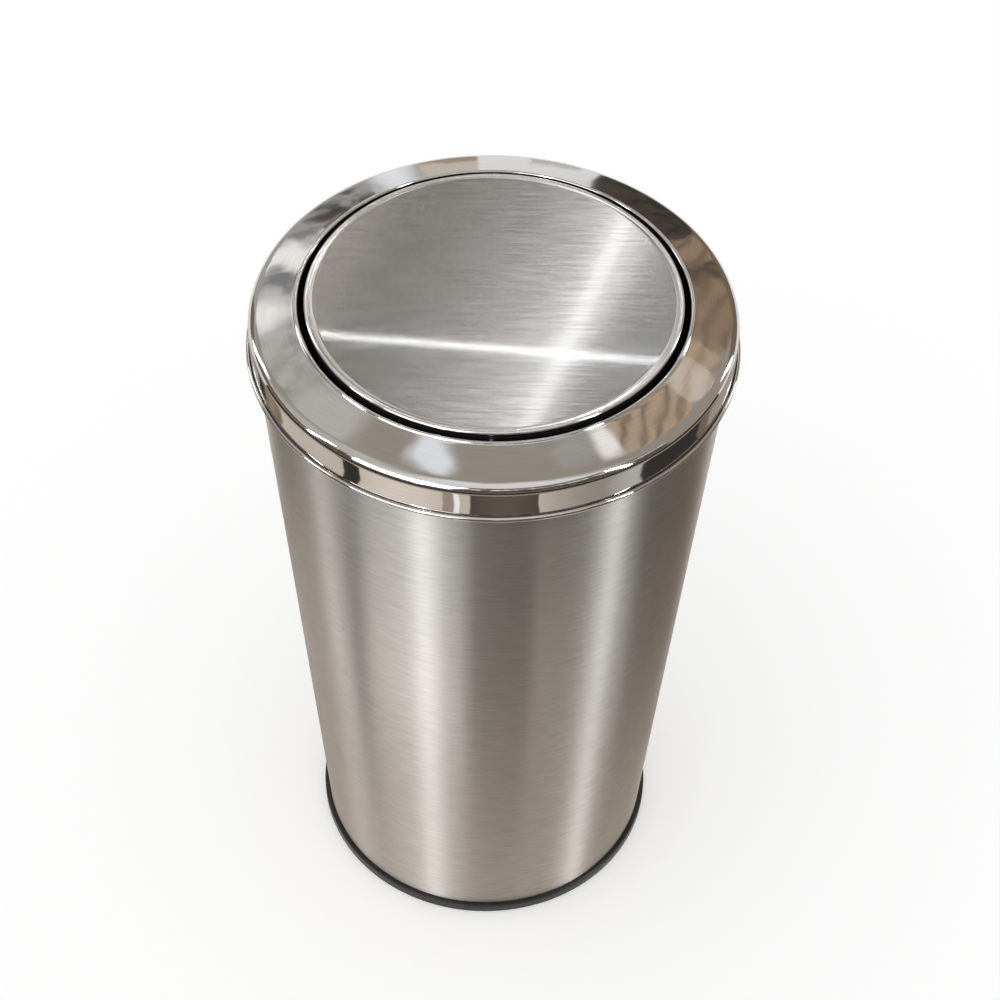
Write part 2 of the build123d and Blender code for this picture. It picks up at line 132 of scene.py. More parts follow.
class Shader:
    """The node tree of a material or a world, with its surface shader on the output."""

    def __init__(self, name: str, owner: Optional[bpy.types.World] = None) -> None:
        """Makes a material, or takes a world, and empties its tree.

        Args:
            name: The material's name.
            owner: A world whose tree is built instead of a material's.
        """
        self.material = owner or bpy.data.materials.new(name)
        self.material.use_nodes = True
        self.tree = self.material.node_tree
        self.tree.nodes.clear()

    def add(self, kind: str, settings: Settings = None, sockets: Sockets = None) -> bpy.types.Node:
        """Adds a node, then its settings, then its sockets.

        Args:
            kind: The node's type.
            settings: The node's own properties.
            sockets: Values, signals or output sockets for its inputs, by name or place.

        Returns:
            The node.
        """
        node = self.tree.nodes.new(kind)
        for key, value in (settings or {}).items():
            setattr(node, key, value)
        for key, value in (sockets or {}).items():
            if isinstance(value, Signal):
                value = value.socket
            if isinstance(value, Socket):
                self.tree.links.new(value, node.inputs[key])
            else:
                node.inputs[key].default_value = value
        return node

    def signal(
        self,
        kind: str,
        settings: Settings = None,
        sockets: Sockets = None,
        output: Union[str, int] = 0,
    ) -> Signal:
        """Adds a node and wraps one of its outputs.

        Args:
            kind: The node's type.
            settings: The node's own properties.
            sockets: Values, signals or output sockets for its inputs.
            output: The output to wrap, by name or place.

        Returns:
            The wrapped output.
        """
        return Signal(self, self.add(kind, settings, sockets).outputs[output])

    def place(self) -> tuple[Signal, Signal, Signal]:
        """Reads the point's place.

        Returns:
            Its x, y and z in the piece's own frame.
        """
        point = self.add("ShaderNodeTexCoord").outputs["Object"]
        node = self.add("ShaderNodeSeparateXYZ", None, {0: point})
        return tuple(Signal(self, out) for out in node.outputs)

    def vector(self, x: Term, y: Term, z: Term) -> Socket:
        """Returns a vector socket made from three numbers or signals."""
        return self.add("ShaderNodeCombineXYZ", None, {0: x, 1: y, 2: z}).outputs[0]

    def scaled(self, level: float, upright: Optional[float] = None) -> Socket:
        """Returns the point times a scale, which may be another one along z."""
        x, y, z = self.place()
        return self.vector(x * level, y * level, z * (upright or level))

    def round_axis(self, across: float, along: float) -> Socket:
        """Scales the point so that noise is drawn out in lines round the Z axis.

        Args:
            across: The scale across the lines.
            along: The scale along them, on a circle of radius 1.

        Returns:
            The scaled point.
        """
        x, y, z = self.place()
        radius = (x * x + y * y) ** 0.5
        return self.vector(x / radius * along, y / radius * along, (z - radius) * across)

    def noise(
        self, where: Socket, detail: float = 2.0, rough: float = 0.5, swirl: float = 0.0
    ) -> Signal:
        """Adds noise with a mean near one half.

        Args:
            where: The vector that it is read at, already scaled.
            detail: Octaves.
            rough: Weight of the finer octaves.
            swirl: How far the pattern is drawn out into curls.

        Returns:
            The noise value.
        """
        sockets = {"Vector": where, "Scale": 1.0, "Detail": detail}
        sockets |= {"Roughness": rough, "Distortion": swirl}
        return self.signal("ShaderNodeTexNoise", None, sockets)

    def blend(self, share: Term, first: Any, second: Any) -> Socket:
        """Mixes two colours.

        Args:
            share: How much of the second colour there is.
            first: A colour or a colour socket.
            second: A colour or a colour socket.

        Returns:
            The mixed colour's socket.
        """
        colours = [c if isinstance(c, Socket) else (*c, 1.0) for c in (first, second)]
        settings = {"data_type": "RGBA", "clamp_factor": True}
        return self.add("ShaderNodeMix", settings, {0: share, 6: colours[0], 7: colours[1]}).outputs[2]

    def relief(self, height: Signal, depth: float) -> Socket:
        """Adds a Bump node.

        Args:
            height: The relief, about 0 to 1.
            depth: What a height of 1 measures, in metres.

        Returns:
            The bent normal.
        """
        sockets = {"Strength": 1.0, "Distance": depth, "Height": height}
        return self.add("ShaderNodeBump", None, sockets).outputs[0]

    def finish(self, surface: Socket) -> Material:
        """Puts a surface shader on the output and returns the material."""
        self.add("ShaderNodeOutputMaterial", None, {"Surface": surface})
        return self.material

    def principled(self, **sockets: Any) -> Material:
        """Finishes with a Principled shader.

        Args:
            sockets: Its inputs, with underscores for spaces in their names.

        Returns:
            The material.
        """
        named = {key.replace("_", " "): value for key, value in sockets.items()}
        return self.finish(self.add("ShaderNodeBsdfPrincipled", None, named).outputs[0])


# ---- Finishes ----
QUARTER_TURN = 0.25  # Turns the stretched highlights of brushed metal across its lines.


def shaded(colour: Colour, share: float) -> Colour:
    """Returns a colour times a share."""
    return tuple(share * part for part in colour)


class Grain(Enum):
    """Which way the belt ran over the sheet."""

    ROUND = "round the can's axis"
    ACROSS = "left to right"


@dataclass(frozen=True)
class BrushedSteel:
    """Stainless sheet ground to an even line finish.

    Scratch sizes are counts per metre: `across` counts lines across the grain, `along` counts
    how often a line starts and ends. A second set of lines is finer by `fine_across` and
    `fine_along`. Sheet with a `weld_pitch` has a lap seam behind, spot welded that far apart.
    """

    tint: Colour = (0.54, 0.535, 0.52)
    shade: Colour = (0.43, 0.423, 0.408)
    contrast: float = 2.0
    roughness: float = 0.415
    haze: float = 0.05
    cloud_scale: float = 9.0
    directional: float = 1.0
    grain: Grain = Grain.ROUND
    grain_radius: float = 0.11
    across: float = 1100.0
    along: float = 84.0
    fine_across: float = 3.2
    fine_along: float = 3.0
    fine_relief: float = 0.35
    line_depth: float = 1.6e-6
    lacquer: float = 0.0
    lacquer_roughness: float = 0.03
    lap: float = 0.004
    lap_line: tuple[float, float] = (0.0002, 0.00044)
    weld_pitch: float = 0.0
    weld_radii: tuple[float, float] = (0.00119, 0.0017)
    weld_shade: float = 0.7
    weld_dent: float = 9.0

    def seam(self, shader: Shader) -> Signal:
        """Draws the lap's dressed edge and the spot welds beside it, behind.

        Args:
            shader: The material's shader.

        Returns:
            A mask of both.
        """
        x, y, z = shader.place()
        off_edge = x.maths("ABSOLUTE", x - self.lap)
        edge = 1 - off_edge.step(*self.lap_line)
        rise = (z.maths("FRACT", z / self.weld_pitch) - 0.5) * self.weld_pitch
        off_weld = (x * x + rise * rise) ** 0.5
        weld = 1 - off_weld.step(*self.weld_radii)
        return edge.maths("MAXIMUM", edge, weld) * y.step(0.0, self.lap)

    def lines(self, shader: Shader, across: float, along: float) -> Socket:
        """Scales the point so that noise is drawn out along the grain.

        Args:
            shader: The material's shader.
            across: The scale across the lines.
            along: The scale along them.

        Returns:
            The scaled point.
        """
        if self.grain is Grain.ROUND:
            return shader.round_axis(across, self.grain_radius * along)
        x, y, _ = shader.place()
        return shader.vector(x * along, y * across, 0.0)

    def make(self, name: str) -> Material:
        """Builds the material.

        Args:
            name: Its name.

        Returns:
            The material.
        """
        shader = Shader(name)
        hairs = shader.noise(self.lines(shader, self.across, self.along))
        finer = self.lines(shader, self.fine_across * self.across, self.fine_along * self.along)
        fine = shader.noise(finer, detail=1.0)
        cloud = shader.noise(shader.scaled(self.cloud_scale))
        tone = 0.5 + self.contrast * (hairs - 0.5)
        height = (1.0 - self.fine_relief) * hairs + self.fine_relief * fine
        if self.weld_pitch:
            seam = self.seam(shader)
            tone = tone - self.weld_shade * seam
            height = height - self.weld_dent * seam
        return shader.principled(
            Base_Color=shader.blend(tone, self.shade, self.tint),
            Metallic=1.0,
            Roughness=self.roughness + self.haze * (fine + cloud - 1.0),
            Anisotropic=self.directional,
            Anisotropic_Rotation=QUARTER_TURN,
            Normal=shader.relief(height, self.line_depth),
            Coat_Weight=self.lacquer,
            Coat_Roughness=self.lacquer_roughness,
        )


@dataclass(frozen=True)
class PolishedSteel:
    """Buffed stainless sheet, with the faint drag lines and the slow ripple of a pressing."""

    tint: Colour = (0.66, 0.645, 0.625)
    darker: float = 0.86
    roughness: float = 0.06
    haze: float = 0.05
    directional: float = 0.4
    line_depth: float = 1.2e-6
    drag_across: float = 1900.0
    drag_along: float = 5.0
    drag_contrast: float = 1.8
    drag_floor: float = 0.36
    ripple: float = 8.0e-5
    ripple_scale: float = 75.0
    wipe_scales: tuple[float, float] = (14.0, 30.0)
    wipe_edges: tuple[float, float] = (0.42, 0.75)
    wipe_contrast: float = 0.3

    def make(self, name: str) -> Material:
        """Builds the material.

        Args:
            name: Its name.

        Returns:
            The material.
        """
        shader = Shader(name)
        lines = shader.round_axis(self.drag_across, self.drag_along)
        drag = shader.noise(lines, detail=3.0, rough=0.6)
        swell = shader.noise(shader.scaled(self.ripple_scale), detail=1.0, rough=0.35)
        wipe = shader.noise(shader.scaled(*self.wipe_scales), detail=3.0).step(*self.wipe_edges)
        dulled = self.wipe_contrast * wipe + self.drag_contrast * (drag - self.drag_floor)
        height = drag * self.line_depth / self.ripple + swell
        return shader.principled(
            Base_Color=shader.blend(dulled, self.tint, shaded(self.tint, self.darker)),
            Metallic=1.0,
            Roughness=self.roughness + self.haze * wipe * drag,
            Anisotropic=self.directional,
            Anisotropic_Rotation=QUARTER_TURN,
            Normal=shader.relief(height, self.ripple),
        )


@dataclass(frozen=True)
class MillSteel:
    """Plain bright sheet or bar as it leaves the mill, with soft cloudy blooms."""

    tint: Colour = (0.55, 0.54, 0.52)
    darker: float = 0.86
    roughness: float = 0.3
    haze: float = 0.16
    scale: float = 60.0
    bloom_edges: tuple[float, float] = (0.3, 0.7)
    bloom_relief: float = 0.3
    grit_fineness: float = 40.0
    depth: float = 4.0e-6

    def make(self, name: str) -> Material:
        """Builds the material.

        Args:
            name: Its name.

        Returns:
            The material.
        """
        shader = Shader(name)
        bloom = shader.noise(shader.scaled(self.scale), detail=4.0, rough=0.6)
        grit = shader.noise(shader.scaled(self.grit_fineness * self.scale), detail=1.0)
        dull = shaded(self.tint, self.darker)
        height = (1.0 - self.bloom_relief) * grit + self.bloom_relief * bloom
        return shader.principled(
            Base_Color=shader.blend(bloom.step(*self.bloom_edges), dull, self.tint),
            Metallic=1.0,
            Roughness=self.roughness + self.haze * (bloom - 0.5),
            Normal=shader.relief(height, self.depth),
        )


@dataclass(frozen=True)
class ZincPlate:
    """Clear zinc plating, with a faint bluish spangle and a few yellowed stains."""

    tint: Colour = (0.52, 0.545, 0.57)
    darker: float = 0.82
    roughness: float = 0.34
    spangle_scale: float = 420.0
    spangle_haze: float = 0.1
    spangle_depth: float = 5.0e-6
    stain_tint: Colour = (0.40, 0.40, 0.36)
    stain_share: float = 0.5
    stain_scale: float = 90.0
    stain_edges: tuple[float, float] = (0.45, 0.8)
    stain_haze: float = 0.12

    def make(self, name: str) -> Material:
        """Builds the material.

        Args:
            name: Its name.

        Returns:
            The material.
        """
        shader = Shader(name)
        cells = {"Vector": shader.scaled(self.spangle_scale), "Scale": 1.0}
        spangle = shader.signal("ShaderNodeTexVoronoi", None, cells, "Distance")
        stain = shader.noise(shader.scaled(self.stain_scale), detail=3.0).step(*self.stain_edges)
        bright = shader.blend(spangle, self.tint, shaded(self.tint, self.darker))
        return shader.principled(
            Base_Color=shader.blend(stain * self.stain_share, bright, self.stain_tint),
            Metallic=1.0,
            Roughness=self.roughness + self.spangle_haze * spangle + self.stain_haze * stain,
            Normal=shader.relief(spangle, self.spangle_depth),
        )


@dataclass(frozen=True)
class MouldedPlastic:
    """Black polypropylene from an eroded mould: a fine even grain with a low sheen."""

    tint: Colour = (0.012, 0.012, 0.013)
    lighter: float = 1.7
    roughness: float = 0.38
    grain: float = 2600.0
    grain_haze: float = 0.06
    depth: float = 7.0e-6
    flow_scales: tuple[float, float] = (22.0, 60.0)
    flow_edges: tuple[float, float] = (0.35, 0.75)
    flow_haze: float = 0.1

    def make(self, name: str) -> Material:
        """Builds the material.

        Args:
            name: Its name.

        Returns:
            The material.
        """
        shader = Shader(name)
        erosion = shader.noise(shader.scaled(self.grain), rough=0.6)
        flow = shader.noise(shader.scaled(*self.flow_scales))
        haze = self.flow_haze * (flow - 0.5) + self.grain_haze * (erosion - 0.5)
        pale = shaded(self.tint, self.lighter)
        return shader.principled(
            Base_Color=shader.blend(flow.step(*self.flow_edges), self.tint, pale),
            Roughness=self.roughness + haze,
            Normal=shader.relief(erosion, self.depth),
        )


@dataclass(frozen=True)
class FootRubber:
    """Dull black rubber with a dusty bloom."""

    tint: Colour = (0.02, 0.02, 0.021)
    roughness: float = 0.72
    depth: float = 2.0e-5
    dust_tint: Colour = (0.05, 0.049, 0.047)
    dust_scale: float = 300.0
    dust_edges: tuple[float, float] = (0.4, 0.8)
    dust_haze: float = 0.2

    def make(self, name: str) -> Material:
        """Builds the material.

        Args:
            name: Its name.

        Returns:
            The material.
        """
        shader = Shader(name)
        dust = shader.noise(shader.scaled(self.dust_scale), detail=4.0, rough=0.65)
        return shader.principled(
            Base_Color=shader.blend(dust.step(*self.dust_edges), self.tint, self.dust_tint),
            Roughness=self.roughness + self.dust_haze * dust,
            Normal=shader.relief(dust, self.depth),
        )


MATT_BLACK = MouldedPlastic(tint=(0.008, 0.008, 0.0085), roughness=0.45)


# ---- Made pieces ----
ON_AXIS = 1e-6  # Millimetres: a point nearer the axis than this lies on it.
CREASE_ANGLE = math.radians(40.0)


def added(name: str, data: bpy.types.ID) -> bpy.types.Object:
    """Adds an object to the scene.

    Args:
        name: Its name.
        data: Its mesh, light or camera.

    Returns:
        The object.
    """
    thing = bpy.data.objects.new(name, data)
    bpy.context.scene.collection.objects.link(thing)
    return thing


@dataclass
class SheetPath:
    """The middle line of a pressed sheet in (radius, height), in millimetres."""

    radius: float
    height: float
    heading: float = 0.0
    stations: list[tuple[float, float, float]] = field(default_factory=list)

    def __post_init__(self) -> None:
        """Marks the first station."""
        self.mark()

    def mark(self) -> None:
        """Keeps the present point and heading."""
        self.stations.append((self.radius, self.height, self.heading))

    def line(self, length: float, steps: int = 1) -> "SheetPath":
        """Runs straight on.

        Args:
            length: How far.
            steps: How many facets the run gets.

        Returns:
            The path.
        """
        for _ in range(steps):
            self.radius += length / steps * math.cos(self.heading)
            self.height += length / steps * math.sin(self.heading)
            self.mark()
        return self

    def arc(self, radius: float, turn: float, steps: int = 10) -> "SheetPath":
        """Bends the sheet.

        Args:
            radius: Radius of the bend's middle line.
            turn: Degrees, positive to the left of the run.
            steps: How many facets the bend gets.

        Returns:
            The path.
        """
        side = math.copysign(1.0, turn)
        share = math.radians(turn) / steps
        for _ in range(steps):
            chord = 2.0 * radius * math.sin(side * share / 2.0)
            self.radius += chord * math.cos(self.heading + share / 2.0)
            self.height += chord * math.sin(self.heading + share / 2.0)
            self.heading += share
            self.mark()
        return self

    def to_axis(self, steps: int) -> "SheetPath":
        """Runs inwards to the axis in a number of steps."""
        return self.line(self.radius, steps)

    def skin(self, thickness: float) -> list[tuple[float, float]]:
        """Gives the path the thickness of the sheet.

        Args:
            thickness: The sheet's thickness.

        Returns:
            The closed outline: one face of the sheet out, the other back.
        """
        sides: list[list[tuple[float, float]]] = [[], []]
        for radius, height, heading in self.stations:
            across = heading + math.pi / 2.0
            for side, reach in zip(sides, (-0.5 * thickness, 0.5 * thickness)):
                out = max(0.0, radius + reach * math.cos(across))
                side.append((out, height + reach * math.sin(across)))
        return sides[0] + sides[1][::-1]


def turned(name: str, outline: Sequence[tuple[float, float]], steps: int) -> bpy.types.Object:
    """Turns an outline round the Z axis.

    Args:
        name: The piece's name.
        outline: (radius, height) points in millimetres. It may touch the axis.
        steps: Facets round the axis.

    Returns:
        The smooth-shaded piece.
    """
    mesh = bpy.data.meshes.new(name)
    shape = bmesh.new()
    rings: list[list[bmesh.types.BMVert]] = []
    turns = [2.0 * math.pi * step / steps for step in range(steps)]
    for radius, height in outline:
        around = turns if radius > ON_AXIS else turns[:1]
        spots = [(radius * MM * math.cos(t), radius * MM * math.sin(t), height * MM) for t in around]
        rings.append([shape.verts.new(spot) for spot in spots])
    for lower, upper in zip(rings, rings[1:] + rings[:1]):
        for step in range(steps):
            ahead = (step + 1) % steps
            places = ((lower, step), (lower, ahead), (upper, ahead), (upper, step))
            face = list(dict.fromkeys(ring[place % len(ring)] for ring, place in places))
            if len(face) > 2:
                shape.faces.new(face)
    bmesh.ops.recalc_face_normals(shape, faces=shape.faces)
    shape.to_mesh(mesh)
    shape.free()
    mesh.shade_smooth()
    mesh.set_sharp_from_angle(angle=CREASE_ANGLE)
    return added(name, mesh)


# ---- Sub-assemblies ----
def dress(nodes: Iterable[str], material: Material) -> None:
    """Gives nodes of the frame a material.

    Args:
        nodes: The nodes' names.
        material: What they are finished in.
    """
    for name in nodes:
        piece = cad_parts[name]
        for slot in piece.material_slots:
            slot.material = material
        LOG.info("%s finished in %s", name, material.name)


@dataclass
class CanBody:
    """The tapered wall, the pressed floor in its foot, the base ring and its pads."""

    wall: BrushedSteel = BrushedSteel(weld_pitch=0.018)
    floor: MillSteel = MillSteel(tint=(0.52, 0.51, 0.49), roughness=0.28)
    ring: MouldedPlastic = MouldedPlastic(roughness=0.34)
    pads: FootRubber = FootRubber()
    pad_count: int = 4

    def dress(self) -> None:
        """Finishes every node of the can."""
        dress(["body_shell"], self.wall.make("brushed_wall_steel"))
        dress(["base_pan"], self.floor.make("pan_sheet_steel"))
        dress(["base_ring"], self.ring.make("base_ring_plastic"))
        pads = [f"foot_pad_{number + 1}" for number in range(self.pad_count)]
        dress(pads, self.pads.make("pad_rubber"))


@dataclass
class LidAssembly:
    """The polished ring, pressed and rolled from one sheet, over its black collar."""

    sheet: float = 0.6
    opening_radius: float = 97.9
    lip_top: float = 406.1
    lip_length: float = 0.5
    bead_radius: float = 0.7
    groove_radius: float = 1.5
    groove_turn: float = 40.0
    face_slope: float = 17.3
    face_crown: float = 2.5
    foot_bend: float = 15.0
    foot_turn: float = 10.0
    shoulder_radius: float = 4.7
    skirt_radius: float = 122.7
    skirt_foot: float = 380.0
    skirt_bead: float = 1.0
    skirt_bead_turn: float = 270.0
    facets: int = 480
    ring: PolishedSteel = PolishedSteel()
    collar: MouldedPlastic = MATT_BLACK

    def path(self) -> SheetPath:
        """Draws the section of the ring.

        Returns:
            Its middle line, from the lip in the opening to the skirt's bead.
        """
        half = self.face_crown / 2.0
        slope = math.radians(self.face_slope)
        foot = math.radians(self.face_slope + half)
        shoulder = math.radians(self.face_slope + half + self.foot_turn)
        path = SheetPath(
            self.opening_radius + self.sheet / 2.0, self.lip_top - self.lip_length, math.pi / 2.0
        )
        path.line(self.lip_length)
        path.arc(self.bead_radius, -(90.0 + self.face_slope + self.groove_turn), steps=16)
        path.arc(self.groove_radius, self.groove_turn + half, steps=8)
        turned_in = self.shoulder_radius * (1.0 - math.sin(shoulder))
        turned_in += self.foot_bend * (math.sin(shoulder) - math.sin(foot))
        face = (self.skirt_radius - turned_in - path.radius) / math.cos(slope)
        path.arc(face / 2.0 / math.sin(math.radians(half)), -self.face_crown, steps=16)
        path.arc(self.foot_bend, -self.foot_turn, steps=10)
        path.arc(self.shoulder_radius, math.degrees(shoulder) - 90.0, steps=14)
        path.line(path.height - self.skirt_foot, steps=2)
        return path.arc(self.skirt_bead, self.skirt_bead_turn, steps=24)

    def build_ring(self) -> bpy.types.Object:
        """Builds the ring.

        Returns:
            The ring, riding on the lid.
        """
        ring = turned("ring_pressing", self.path().skin(self.sheet), self.facets)
        ring.data.materials.append(self.ring.make("polished_ring_steel"))
        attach(ring, "lid")
        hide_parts("lid_ring")
        LOG.info("%s built with %d faces", ring.name, len(ring.data.polygons))
        return ring

    def dress(self) -> None:
        """Finishes the collar under the ring."""
        dress(["lid_collar"], self.collar.make("collar_plastic"))


@dataclass
class FlapAssembly:
    """The round flap: brushed skin with a polished rolled rim, tray, axle and counterweights.

    Unlike the other lengths, `grain_reach` is in metres. `twist` is a slope per metre.
    """

    sheet: float = 0.6
    rim_radius: float = 94.8
    bead_top: float = 408.6
    bead_radius: float = 0.9
    bead_turn: float = 125.0
    rim_wall: float = 0.3
    hem_bend: float = 0.45
    hem_length: float = 0.9
    groove_bend: float = 0.9
    groove_flat: float = 0.9
    crease_bend: float = 0.9
    crease_turn: float = 24.0
    crease_slope: float = 0.25
    crown_bend: float = 12000.0
    crown_turn: float = 0.05
    crown_reach: float = 90.7
    facets: int = 360
    grain_reach: float = 60.0
    twist: float = 0.28
    face: BrushedSteel = BrushedSteel(
        tint=(0.62, 0.615, 0.60),
        shade=(0.49, 0.485, 0.47),
        contrast=3.5,
        roughness=0.195,
        grain=Grain.ACROSS,
        across=1050.0,
        along=36.0,
        line_depth=1.2e-6,
        lacquer=1.0,
    )
    rim: PolishedSteel = PolishedSteel(
        tint=(0.86, 0.85, 0.835), roughness=0.09, ripple=2.0e-6, line_depth=6.0e-8
    )
    tray: MouldedPlastic = MATT_BLACK
    axle: MillSteel = MillSteel(tint=(0.80, 0.79, 0.77), roughness=0.4, scale=200.0)
    weights: ZincPlate = ZincPlate()

    def path(self) -> SheetPath:
        """Draws the section of the skin.

        Returns:
            Its middle line, from the hem under the rim to the axis.
        """
        half = self.sheet / 2.0
        middle = self.rim_radius - half
        bead_centre = self.bead_top - half - self.bead_radius
        start = SheetPath(
            middle - self.hem_bend - self.hem_length, bead_centre - self.rim_wall - self.hem_bend
        )
        out = self.bead_turn - 90.0
        return (
            start.line(self.hem_length)
            .arc(self.hem_bend, 90.0)
            .line(self.rim_wall)
            .arc(self.bead_radius, self.bead_turn, steps=18)
            .arc(self.groove_bend, -out, steps=8)
            .line(self.groove_flat)
            .arc(self.groove_bend, -self.crease_turn, steps=8)
            .line(self.crease_slope)
            .arc(self.crease_bend, self.crease_turn - self.crown_turn, steps=8)
            .arc(self.crown_bend, self.crown_turn, steps=12)
            .to_axis(steps=8)
        )

    def spring(self, mesh: bpy.types.Mesh) -> None:
        """Leans the face's normals as in a sheet that is twisted a little, corner to corner.

        Args:
            mesh: The skin, with its face in the first material.
        """
        normals = [corner.vector.copy() for corner in mesh.corner_normals]
        for polygon in mesh.polygons:
            if polygon.material_index:
                continue
            for corner in polygon.loop_indices:
                place = mesh.vertices[mesh.loops[corner].vertex_index].co
                lean = Vector((-place.y, -place.x, 0.0)) * (self.twist * normals[corner].z)
                normals[corner] = (normals[corner] + lean).normalized()
        mesh.normals_split_custom_set(normals)

    def build_skin(self) -> bpy.types.Object:
        """Builds the flap's skin: a brushed crown inside a polished rim.

        The stretch of a brushed metal's highlights follows circles round the middle of the
        texture space. That middle lies far in front, so that on the flap it runs straight.

        Returns:
            The skin, riding on the flap.
        """
        path = self.path()
        skin = turned("flap_pressing", path.skin(self.sheet), self.facets)
        mesh = skin.data
        mesh.materials.append(self.face.make("brushed_flap_steel"))
        mesh.materials.append(self.rim.make("flap_rim_steel"))
        for polygon in mesh.polygons:
            reach = math.hypot(polygon.center.x, polygon.center.y)
            polygon.material_index = int(reach > self.crown_reach * MM)
        self.spring(mesh)
        mesh.use_auto_texspace = False
        mesh.texspace_location = (0.0, -self.grain_reach, 0.0)
        mesh.texspace_size = (1.0, 1.0, 1.0)
        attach(skin, "flap")
        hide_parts("flap_skin")
        LOG.info("%s built with %d faces", skin.name, len(mesh.polygons))
        return skin

    def dress(self) -> None:
        """Finishes the nodes under the skin."""
        dress(["flap_tray"], self.tray.make("tray_plastic"))
        dress(["axle_rod", "front_axle_clip", "rear_axle_clip"], self.axle.make("axle_steel"))
        weights = ["left_counterweight", "right_counterweight", "counterweight_screws"]
        dress(weights, self.weights.make("weight_zinc"))


# ---- Studio ----
class Tone(Enum):
    """Paints of the cards that stand round the set."""

    WHITE = (1.25, 1.24, 1.22)
    COOL_WHITE = (1.06, 1.11, 1.18)
    MILK = (0.97, 0.98, 0.99)
    SILVER = (0.66, 0.645, 0.62)
    GREY = (0.48, 0.47, 0.46)
    CREAM = (0.80, 0.71, 0.62)
    PALE = (0.98, 0.88, 0.78)
    TAUPE = (0.415, 0.38, 0.338)
    TAN_GREY = (0.74, 0.67, 0.58)
    STONE = (0.19, 0.182, 0.167)
    SLATE = (0.29, 0.295, 0.31)
    SAND = (0.45, 0.365, 0.295)
    TAN = (0.62, 0.48, 0.35)
    BROWN = (0.40, 0.29, 0.20)
    UMBER = (0.24, 0.18, 0.13)
    SOOT = (0.16, 0.13, 0.108)
    DARK = (0.10, 0.08, 0.068)
    BLACK = (0.05, 0.045, 0.04)


PLAIN_WHITE = (1.0, 1.0, 1.0, 1.0)
LID_MIDDLE = Vector((0.0, 0.0, 0.40))
MOTTLE_EDGES = (0.42, 0.58)
TIMBER_EDGES = (0.05, 0.45)


def towards(azimuth: float, elevation: float) -> Vector:
    """Points out from the set.

    Args:
        azimuth: Degrees to the right of straight behind.
        elevation: Degrees above the level.

    Returns:
        The unit direction.
    """
    turn, rise = math.radians(azimuth), math.radians(elevation)
    out = math.cos(rise)
    return Vector((math.sin(turn) * out, math.cos(turn) * out, math.sin(rise)))


@dataclass(frozen=True)
class Lamp:
    """A rectangular lamp that faces the lid. Angles are in degrees, `lean` about its own axis."""

    name: str
    azimuth: float
    elevation: float
    width: float
    height: float
    level: float
    lean: float = 0.0
    distance: float = 2.4
    tint: Colour = (1.0, 1.005, 1.015)
    on_metal: bool = True

    def build(self) -> None:
        """Hangs the lamp, for the metal or for all the rest."""
        light = bpy.data.lights.new(self.name, "AREA")
        light.shape = "RECTANGLE"
        light.size = self.width
        light.size_y = self.height
        light.color = self.tint
        light.energy = self.level * math.pi * self.width * self.height
        lamp = added(self.name, light)
        out = towards(self.azimuth, self.elevation)
        turn = (-out).to_track_quat("-Z", "Y").to_matrix().to_4x4()
        lean = Matrix.Rotation(math.radians(self.lean), 4, "Z")
        lamp.matrix_world = Matrix.Translation(LID_MIDDLE + out * self.distance) @ turn @ lean
        lamp.visible_camera = False
        lamp.visible_diffuse = not self.on_metal
        lamp.visible_glossy = self.on_metal


class Pattern(Enum):
    """How a card's second tone lies on its first."""

    RIGHTWARDS = "fades in to the right"
    MIDDLE = "strongest in the middle"
    MOTTLED = "in curled streaks"
    TIMBER = "in the wavy lines of a sawn board"


